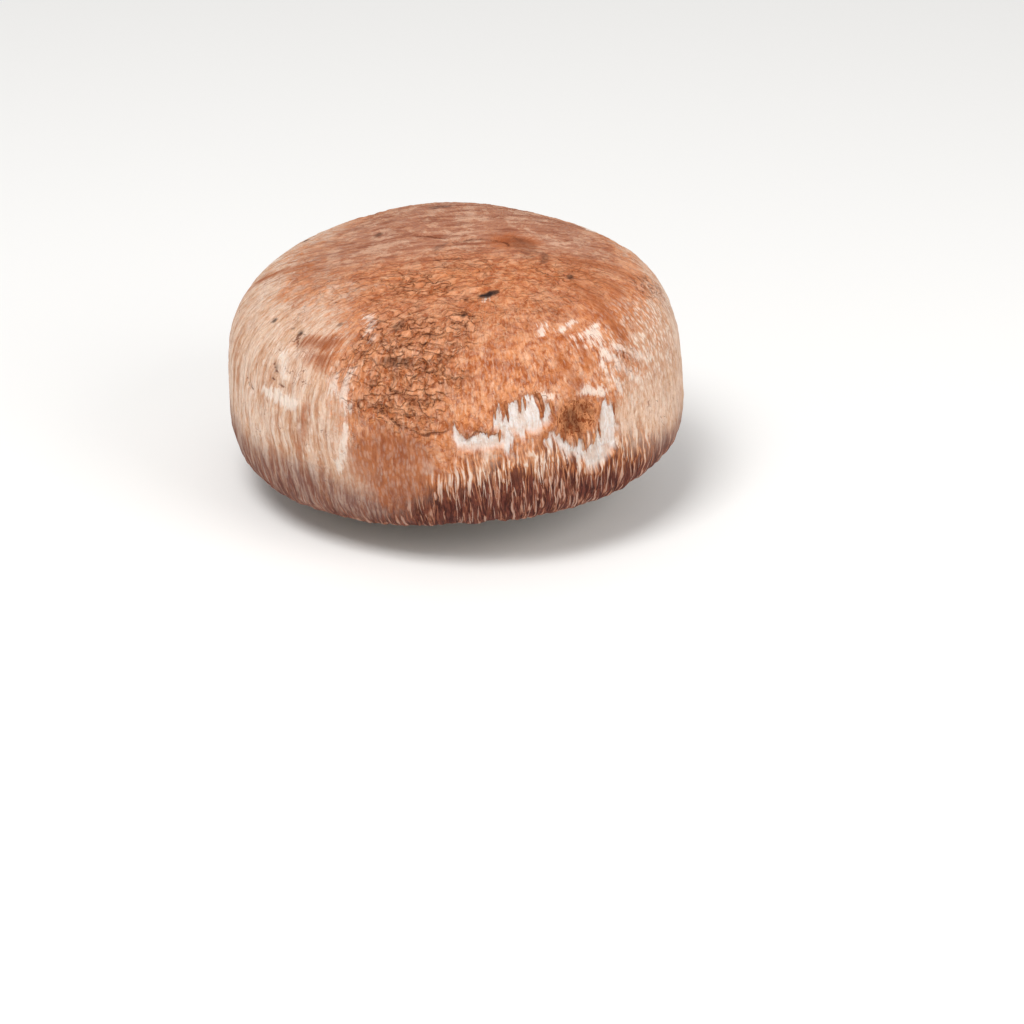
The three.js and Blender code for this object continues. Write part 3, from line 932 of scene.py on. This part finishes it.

    # Wrinkles of skin parted by crevices that are dark in places, partly their own colour and partly painted
    # shade, with painted shade beside the folds, a painted highlight on the lumps between them, and a few
    # short curved cracks elsewhere.
    folds = f.noise(swirled, (4.9, 3.6, 4.0), 1.0, 0.4, 0.3)
    small_folds = f.noise(swirled, (2.5, 1.8, 2.1), 2.0, 0.4, 0.3)
    lumps = 1.6 - f.contour(folds, 0.09) - f.contour(small_folds, 0.10) * 0.7
    spread = f.noise(here, 3.6, 2.0, 0.5)
    broken = f.ease(0.46, 0.60, flecks + (mottle - 0.5) * 0.7)
    crevices = (f.contour(folds, 0.028) + f.contour(small_folds, 0.036) * 0.9) * broken
    crevices = crevices * crackled * f.ease(0.34, 0.54, spread)
    sparse = f.contour(small_folds, 0.02) * f.ease(0.56, 0.66, spread) * f.ease(0.46, 0.56, broad)
    sparse = sparse * (0.8 - upper * 0.6)
    creases = f.attribute("creases") * f.ease(0.46, 0.62, mottle + (grit - 0.5) * 0.5)
    drawn = f.ease(-0.35, 0.05, f.attribute("cracks") + (mottle - 0.5) * 1.6)
    colour = f.over(
        colour,
        # Painted shade beside the folds.
        (f.contour(folds, 0.07) * crackled * 0.4, "#ac5727"),
        (f.contour(small_folds, 0.09) * crackled * 0.35, "#ac5727"),
        # Painted highlight on the tops of the lumps.
        ((1.0 - f.contour(small_folds, 0.14)) * crackled * 0.4, "#eca980"),
        (crackled * f.ease(0.54, 0.68, spread + (grit - 0.5) * 0.3) * 0.45, "#84492f"),
        # Crevices: partly the skin's own darker colour, partly painted shade.
        (crevices * 0.85, "#6c3116"),
        (sparse, "#7a4023"),
        # Painted shade in the creases of the relief.
        (creases * 0.55, "#7a3d20"),
    )

    # Frayed margin: cream strands over brown gaps, both darkened underneath by painted shade, with some of
    # the margin's own darker brown.
    # deep is the share of painted shade low on the margin: it darkens the gaps, the cream strands and the
    # skin, and thins the cream strands.
    deep = f.ease(0.0, 1.0, f.attribute("shaded") + (broad - 0.5) * 0.7 + (streaks - 0.5) * 0.4)
    strands = f.attribute("strands") * 0.5 + (tresses - 0.5) * 7.0 + (hairs - 0.5) * 1.5 - 0.12 - deep * 0.45
    gap = f.between(f.ease(0.0, -0.8, strands), "#c4733f", "#6b2d14")
    gap_in_painted_shade = f.between(f.ease(0.40, 0.60, hairs + (streaks - 0.5) * 0.6), "#3a1413", "#733a2e")
    gap = f.blend(deep * 0.85, gap, gap_in_painted_shade)
    cream = f.between(f.ease(0.2, 0.8, strands), "#e0a57c", "#fbe8d8")
    cream = f.over(cream, (deep * 0.75, "#ac7663"))
    # Painted shade over the skin low on the margin.
    colour = f.over(colour, (deep * f.ease(0.62, 0.40, streaks) * 0.35 + deep * 0.5, "#68322c"))
    colour = f.blend(frayed * 0.95, colour, f.blend(f.ease(-0.05, 0.25, strands), gap, cream))
    colour = f.over(colour, (drawn * 0.8, "#6b361f"))

    # Torn places: white flesh with fibres of skin hanging into it.
    ragged = f.attribute("torn") + (streaks - 0.5) * 3.6 + (hairs - 0.5) * 1.8
    below = f.attribute("below")
    torn = f.ease(-0.25 - below * 0.7, 0.4 + below * 1.2, ragged)
    flesh = f.between(f.ease(0.36, 0.60, streaks + (mottle - 0.5) * 0.5), "#dcc5b6", "#ece3de")
    # A darker rim along the top edge of the torn places: partly the skin's darker torn edge, partly painted
    # shade of the step down to the flesh.
    torn_edge_and_shade = f.ease(-1.1, -0.2, ragged) * (1.0 - below) - torn
    colour = f.over(colour, (torn_edge_and_shade * 0.45, "#9c562e"))
    flesh = f.over(
        flesh,
        (f.ease(0.54, 0.66, hairs + (streaks - 0.5) * 0.6) * 0.45, "#cda68b"),
        (below * f.ease(0.44, 0.60, streaks) * 0.5, "#d89a6c"),
    )
    colour = f.blend(torn, colour, flesh)

    # Dimple, and dark spots: stains, and one smudge of painted shade along a crevice.
    dimple = f.attribute("dimple")
    fuzz = f.noise(f.warped(strand, here, 1.6, 1.4), (0.6, 0.6, 1.8), 4.0, 0.7, 0.8)
    tuft = f.between(f.ease(0.40, 0.58, fuzz), "#8a431e", "#dd9363")
    colour = f.blend(f.ease(0.2, 0.5, dimple) * (1.0 - torn), colour, tuft)
    core = f.ease(-0.9, 0.9, f.attribute("core") + (fuzz - 0.5) * 4.0)
    colour = f.over(
        colour,
        (core * 0.55, "#5c2c1a"),
        (f.attribute("stain_and_shade"), "#2e1d18"),
    )

    # Inside the roll: cottony flesh.
    cotton = f.between(f.ease(0.35, 0.65, mottle), "#cdb29a", "#efe4d6")
    rolled = f.ease(94.5, 97.5, down + (streaks - 0.5) * 16.0 + (mottle - 0.5) * 8.0)
    colour = f.blend(rolled, colour, cotton)

    height_mm = (
        along * 0.7
        + (tresses - 0.5) * 1.3 * frayed
        + (combed - 0.5) * 1.3 * ridged
        + (hairs - 0.5) * 0.34 * off_crown
        + (grit - 0.5) * 0.24 * calm
        + (mottle - 0.5) * 0.5 * (1.0 - smooth * 0.8 - crackled * 0.5) * calm
        + (fuzz - 0.5) * 1.3 * dimple
        + scale_back * scaly * 0.2
        + lumps * 0.7 * crackled
        - crevices * 0.2
        - drawn * 0.25
        - creases * 0.12
        - torn * 0.25
    )
    roughness = 0.68 + (mottle - 0.5) * 0.2 + torn * 0.1
    return f.surface(colour, roughness, f.bump(height_mm), {**SOFT_FLESH, "Specular IOR Level": 0.14})


# Gills

def make_gills(finish):
    """Thin blades of three lengths round the stem, copied from one blade, under a ring of their tissue."""
    bpy.ops.mesh.primitive_grid_add(x_subdivisions=12, y_subdivisions=4, size=1.0)
    blade = bpy.context.object
    solid = blade.modifiers.new("thickness", "SOLIDIFY")
    solid.thickness = 1.0
    solid.offset = 0.0
    select_only(blade)
    bpy.ops.object.modifier_apply(modifier="thickness")
    shape = points_of(blade)
    faces = [tuple(p.vertices) for p in blade.data.polygons]
    bpy.data.objects.remove(blade)

    draw = np.random.default_rng(7)
    starts = (15.6, 33.0, 24.5, 33.0)
    vertices, polygons, share_down = [], [], []
    for i in range(BLADES):
        start = starts[i % 4] + draw.uniform(-0.6, 1.2)
        end = 46.2 + draw.uniform(-0.3, 0.2)
        along = shape[:, 0] + 0.5
        hang = 0.5 - shape[:, 1]
        radius = start + (end - start) * along
        root = flesh_underside(radius) - GAP - 0.4
        edge = GILL_EDGE_Z + draw.uniform(-0.25, 0.5)
        fall_in = ease(0.0, 4.5, radius - start) ** 0.7
        fall_out = 1.0 - ease(38.5, 46.0, radius)
        bottom = root - (root - edge) * fall_in * (0.10 + 0.90 * fall_out)
        height = root + (bottom - root) * hang
        wobble = 0.25 * np.sin(radius / draw.uniform(2.5, 5.0) + draw.uniform(0, 6.3)) * hang
        lean = draw.uniform(-0.35, 0.35) * hang
        half = shape[:, 2] * (0.42 - 0.20 * hang)
        turn = 2 * math.pi * (i + draw.uniform(-0.16, 0.16)) / BLADES
        side = half + wobble + lean
        x = radius * math.sin(turn) + side * math.cos(turn)
        y = -radius * math.cos(turn) + side * math.sin(turn)
        first = len(vertices) * len(shape)
        vertices.append(np.column_stack([x, y, height]))
        polygons.extend(tuple(first + v for v in face) for face in faces)
        share_down.append(hang)
    mesh = bpy.data.meshes.new("gill_blades")
    mesh.from_pydata(np.vstack(vertices).tolist(), [], polygons)
    gills = bpy.data.objects.new("gill_blades", mesh)
    bpy.context.collection.objects.link(gills)
    store(gills, "hang", np.concatenate(share_down))

    inner, outer = 15.4, 46.4
    ring = [
        (inner, flesh_underside(inner) - GAP),
        (inner, flesh_underside(inner) - GAP - 0.7),
        (outer, flesh_underside(outer) - GAP - 0.7),
        (outer, flesh_underside(outer) - GAP),
        (inner, flesh_underside(inner) - GAP),
    ]
    tissue = spun("gill_tissue", ring, 120)
    store(tissue, "hang", np.zeros(len(tissue.data.vertices)))
    select_only(gills)
    tissue.select_set(True)
    bpy.ops.object.join()
    move_points(gills, leaned(grow_unevenly(points_of(gills))))
    return set_down(gills, finish, "gills", "gills")


def gill_finish():
    """Moist dark chocolate gills, a little paler and pinker towards their roots."""
    f = Finish("gills")
    here = f.millimetres()
    hang = f.attribute("hang")
    mottle = f.noise(here, 6.0, 4.0, 0.6)
    spores = f.noise(here, 0.5, 3.0, 0.6)
    colour = f.between(f.ease(0.35, 0.65, mottle), "#2f1a14", "#4e2f26")
    colour = f.over(
        colour,
        (f.ease(0.55, 0.0, hang) * 0.5, "#6b4638"),
        (f.ease(0.86, 1.0, hang) * f.ease(0.4, 0.7, mottle) * 0.6, "#7a5648"),
        (f.ease(0.55, 0.75, spores) * 0.35, "#1d0f0b"),
    )
    height = (spores - 0.5) * 0.10 + (mottle - 0.5) * 0.15
    return f.surface(colour, 0.5 + (mottle - 0.5) * 0.3, f.bump(height))


# Stem

def bend_stem(points):
    """The stem bends on its way up, so that its head meets the leaning cap squarely."""
    share = ease(0.0, FLESH_Z, points[:, 2])
    pivot = np.minimum(points[:, 2], FLESH_Z)
    flat = points - np.column_stack([0 * pivot, 0 * pivot, pivot])
    rotated = flat @ np.array(LEAN).T
    bent = flat + (rotated - flat) * share[:, None]
    return bent + np.column_stack([0 * pivot, 0 * pivot, pivot])


def make_stem(finish):
    """Short fibrous stem with the root of its ring, and a cut end that is slightly hollow in places."""
    ring_z = 14.0
    side = np.array([
        (STEM_FOOT_RADIUS - 0.5, 0.0),
        (STEM_FOOT_RADIUS, 0.5),
        (STEM_FOOT_RADIUS, 1.6),
        (STEM_FOOT_RADIUS - 0.2, 3.5),
        (STEM_RADIUS + 0.3, 7.0),
        (STEM_RADIUS + 0.4, ring_z - 3.0),
        (STEM_RADIUS + 1.0, ring_z - 2.0),
        (STEM_RADIUS + 1.6, ring_z - 1.2),
        (STEM_RADIUS + 1.4, ring_z - 0.4),
        (STEM_RADIUS + 0.6, ring_z + 1.0),
        (STEM_RADIUS - 0.1, ring_z + 3.5),
        (STEM_RADIUS - 0.4, 22.0),
        (STEM_RADIUS - 0.3, 26.0),
        (STEM_RADIUS - 0.2, FLESH_Z - 3.0),
        (STEM_RADIUS, FLESH_Z + 0.6),
        (STEM_RADIUS - 0.2, FLESH_Z + 2.2),
    ])
    fine_side, _ = spaced(side, 64)
    foot = np.column_stack([np.linspace(0.0, side[0, 0], 14), np.zeros(14)])[:-1]
    head = np.column_stack([np.linspace(side[-1, 0], 0.0, 5), np.full(5, side[-1, 1])])[1:]
    outline = np.vstack([foot, fine_side, head])
    stem = spun("stem_body", outline, STEM_STEPS)
    points = points_of(stem)
    normals = normals_of(stem)
    turn = np.arctan2(points[:, 0], -points[:, 1])
    wall = ease(0.6, 3.0, points[:, 2]) * (1.0 - ease(FLESH_Z - 6.0, FLESH_Z - 1.0, points[:, 2]))
    strand = np.column_stack([13.0 * np.sin(turn), -13.0 * np.cos(turn), points[:, 2]])
    fibres = 0.30 * grain(strand, (1.6, 1.6, 12.0), 31) + 0.20 * grain(strand, (0.8, 0.8, 7.0), 32)
    lumps = waves(turn, (2, 0.35, 0.4), (5, 0.2, 1.2)) + 0.4 * grain(points, 6.0, 33)
    at_ring = np.exp(-(((points[:, 2] - ring_z + 1.0) / 1.8) ** 2))
    torn = at_ring * (0.8 * grain(strand, (2.2, 2.2, 2.0), 34) + 0.3)
    cut = (1.0 - ease(0.0, 0.2, points[:, 2])) * (points[:, 2] < 0.2)
    radius = np.hypot(points[:, 0], points[:, 1])
    hollow = cut * (0.22 + 0.16 * grain(points, 2.5, 35) + 0.08 * grain(points, 0.9, 36))
    hollow = hollow * (1.0 - ease(11.5, 13.5, radius))
    points = points + normals * (wall * (fibres + lumps + torn))[:, None]
    points[:, 2] += np.clip(hollow, 0.0, None)
    store(stem, "strand", strand)
    store(stem, "cut", cut)
    move_points(stem, bend_stem(points))
    return set_down(stem, finish, "stem", "stem")


def stem_finish():
    """Cream fibrous stem, browned where it was handled and cut."""
    f = Finish("stem")
    here = f.millimetres()
    strand = f.attribute_vector("strand")
    cut = f.attribute("cut")
    mottle = f.noise(here, 5.0, 4.0, 0.6)
    fibres = f.noise(strand, (0.8, 0.8, 9.0), 4.0, 0.6, 0.4)
    cells = f.noise(here, 0.7, 3.0, 0.6)
    colour = f.between(f.ease(0.35, 0.65, mottle), "#d9c3a8", "#efe5d6")
    colour = f.over(colour, (f.ease(0.54, 0.70, fibres) * 0.5, "#b88f6b"))
    centre = f.between(f.ease(0.38, 0.66, mottle), "#c9a582", "#ead9c3")
    centre = f.over(centre, (f.ease(0.5, 0.7, cells) * 0.4, "#a67c56"))
    colour = f.blend(cut, colour, centre)
    height = (fibres - 0.5) * 0.25 * (1.0 - cut) + (cells - 0.5) * 0.15
    return f.surface(colour, 0.65 + (mottle - 0.5) * 0.2, f.bump(height), SOFT_FLESH)


# Torn veil

def ragged_band(name, place, columns, rows, thickness):
    """A thin torn band round the axis. place(turn, share) gives its points, share being 0 at its root."""
    bpy.ops.mesh.primitive_grid_add(x_subdivisions=columns, y_subdivisions=rows, size=1.0)
    band = bpy.context.object
    band.name = name
    flat = points_of(band)
    turn = (flat[:, 0] + 0.5) * 2 * math.pi
    share = flat[:, 1] + 0.5
    move_points(band, place(turn, share))
    store(band, "share", share)
    select_only(band)
    bpy.ops.object.mode_set(mode="EDIT")
    bpy.ops.mesh.select_all(action="SELECT")
    bpy.ops.mesh.remove_doubles(threshold=1e-3)
    bpy.ops.mesh.normals_make_consistent(inside=False)
    bpy.ops.object.mode_set(mode="OBJECT")
    solid = band.modifiers.new("thickness", "SOLIDIFY")
    solid.thickness = thickness
    solid.offset = 0.0
    bpy.ops.object.modifier_apply(modifier="thickness")
    return band


def make_lip_fringe(finish):
    """What is left of the veil on the cap's lip: a cottony frill of uneven depth, hanging inwards."""

    def place(turn, share):
        circle = np.column_stack([40 * np.sin(turn), -40 * np.cos(turn), 0 * turn])
        depth = 2.2 + 1.8 * grain(circle, 9.0, 41) + 1.3 * grain(circle, 2.6, 42)
        depth = depth + 0.6 * grain(circle, 1.1, 43)
        depth = np.clip(depth, 0.5, 5.0)
        radius = LIP_RADIUS + 1.2 - depth * share * 0.85
        height = MARGIN_Z + 1.3 - 0.5 * np.sin(share * 2.2) * depth * 0.35
        height = height + share * (0.7 * grain(circle, 3.5, 44) + 0.3 * grain(circle, 1.2, 45))
        return np.column_stack([radius * np.sin(turn), -radius * np.cos(turn), height])

    fringe = ragged_band("lip_fringe", place, 520, 7, 0.45)
    move_points(fringe, leaned(grow_unevenly(points_of(fringe))))
    return set_down(fringe, finish, "cap")


def make_stem_ring(finish):
    """The ring that the torn veil left round the stem: a thin, frayed, drooping collar."""

    def place(turn, share):
        circle = np.column_stack([15 * np.sin(turn), -15 * np.cos(turn), 0 * turn])
        depth = 2.0 + 1.0 * grain(circle, 6.0, 51) + 0.8 * grain(circle, 2.0, 52)
        depth = np.clip(depth, 0.4, 3.6)
        radius = STEM_RADIUS + 0.4 + depth * np.sqrt(share) * 0.9
        height = 14.6 - depth * share**1.5 * 0.9 + share * 0.5 * grain(circle, 2.2, 53)
        return np.column_stack([radius * np.sin(turn), -radius * np.cos(turn), height])

    collar = ragged_band("stem_ring", place, 260, 6, 0.4)
    move_points(collar, bend_stem(points_of(collar)))
    return set_down(collar, finish, "stem")


def veil_finish():
    """Cottony cream veil, browned at its torn edge."""
    f = Finish("veil")
    here = f.millimetres()
    share = f.attribute("share")
    mottle = f.noise(here, 3.0, 4.0, 0.6)
    cotton = f.noise(here, 0.6, 4.0, 0.65)
    colour = f.between(f.ease(0.35, 0.65, mottle), "#d8c2a9", "#f1e8dc")
    colour = f.over(colour, (f.ease(0.7, 1.0, share + (mottle - 0.5) * 0.6) * 0.6, "#a47a58"))
    height = (cotton - 0.5) * 0.3
    return f.surface(colour, 0.8, f.bump(height), SOFT_FLESH)


# Studio

# Where the middle of the cap lies in the photograph, and its viewing angle.
CAP_MIDDLE_PX = (453.6, 383.4)
PICTURE_PX = 1024.0
VIEW_ELEVATION = math.radians(25.0)
VIEW_DISTANCE = 0.9
VIEW_ANGLE = math.radians(15.7)


def make_camera():
    """Camera at the photograph's angle, with the middle of the cap on its place in the picture."""
    middle = Vector((leaned(np.array([[0.0, 0.0, WIDEST_Z]]))[0] + AXIS_FOOT) * MM)
    back = Vector((0.0, -math.cos(VIEW_ELEVATION), math.sin(VIEW_ELEVATION)))
    eye = middle + VIEW_DISTANCE * back
    pixels_per_unit = PICTURE_PX / 2 / math.tan(VIEW_ANGLE / 2)
    pitch = math.atan((PICTURE_PX / 2 - CAP_MIDDLE_PX[1]) / pixels_per_unit)
    yaw = math.atan((PICTURE_PX / 2 - CAP_MIDDLE_PX[0]) / pixels_per_unit)
    lens = bpy.data.cameras.new("camera")
    lens.sensor_fit = "HORIZONTAL"
    lens.angle = VIEW_ANGLE
    lens.clip_start = 0.01
    camera = bpy.data.objects.new("camera", lens)
    towards = (-back).to_track_quat("-Z", "Y").to_matrix()
    turn = Euler((-pitch, 0.0, 0.0)).to_matrix() @ Euler((0.0, -yaw, 0.0)).to_matrix()
    camera.matrix_world = (towards @ turn).to_4x4()
    camera.location = eye
    bpy.context.collection.objects.link(camera)
    bpy.context.scene.camera = camera


def area_light(name, place, target, size, watts):
    """A soft square lamp that points at a target."""
    light = bpy.data.lights.new(name, "AREA")
    light.size = size
    light.energy = watts
    lamp = bpy.data.objects.new(name, light)
    lamp.location = place
    lamp.rotation_euler = (Vector(target) - Vector(place)).to_track_quat("-Z", "Y").to_euler()
    bpy.context.collection.objects.link(lamp)


def make_studio():
    """Plain pale floor, even white surroundings, and two soft lamps."""
    bpy.ops.mesh.primitive_plane_add(size=6.0, location=(0, 0, 0))
    floor = bpy.context.object
    floor.name = "floor"
    f = Finish("floor")
    tone = f.noise(f.millimetres(), 400.0, 2.0)
    floor.data.materials.append(f.surface(f.between(tone * 0.1, "#f4f3f1", "#eceae7"), 0.9))
    world = bpy.data.worlds.new("studio")
    world.use_nodes = True
    world.node_tree.nodes["Background"].inputs["Color"].default_value = (1.0, 1.0, 1.0, 1.0)
    world.node_tree.nodes["Background"].inputs["Strength"].default_value = 0.52
    bpy.context.scene.world = world
    area_light("key", (-0.25, -0.45, 0.95), (0, 0, 0.03), 0.45, 7.6)
    area_light("fill", (0.7, -0.5, 0.55), (0, 0, 0.03), 0.6, 3.1)
    bpy.context.scene.view_settings.view_transform = "Standard"


make_camera()
make_studio()
_, skin_grid, skin_length = make_cap(skin_finish())
make_fibres(skin_grid, skin_length, fibre_finish())
make_gills(gill_finish())
make_stem(stem_finish())
veil = veil_finish()
make_lip_fringe(veil)
make_stem_ring(veil)
